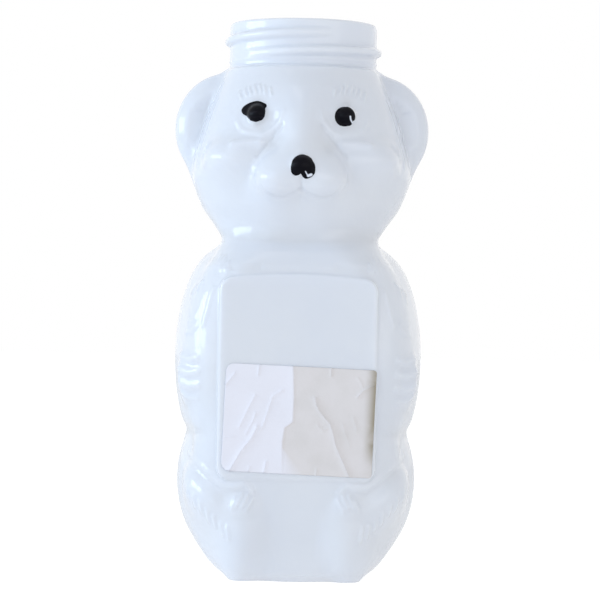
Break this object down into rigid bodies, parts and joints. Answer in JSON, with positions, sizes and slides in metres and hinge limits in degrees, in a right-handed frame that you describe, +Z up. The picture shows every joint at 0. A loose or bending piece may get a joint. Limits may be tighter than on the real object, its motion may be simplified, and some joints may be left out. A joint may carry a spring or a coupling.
{
  "type": "honey bear bottle",
  "caption": "Bear-shaped squeeze bottle in milky plastic with a wide threaded neck, flat label panels, painted eyes and nose, and a blank paper label.",
  "frame": {"origin": "on the axis of the neck, in the plane that the bottle stands on", "axes": "+Z up along the axis of the neck, -Y towards the bear's face, +X to the right of someone who faces the bear"},
  "size_m": [0.0604, 0.0576, 0.131],
  "materials": {
    "milky_plastic": "natural translucent polyethylene, satin gloss",
    "black_paint": "glossy black spot paint, chipped",
    "label_paper": "matt white paper label, creased and worn"
  },
  "bodies": {
    "root": {"bottle": "milky_plastic", "left_eye_paint": "black_paint", "right_eye_paint": "black_paint", "nose_paint": "black_paint", "paper_label": "label_paper"}
  },
  "joints": []
}
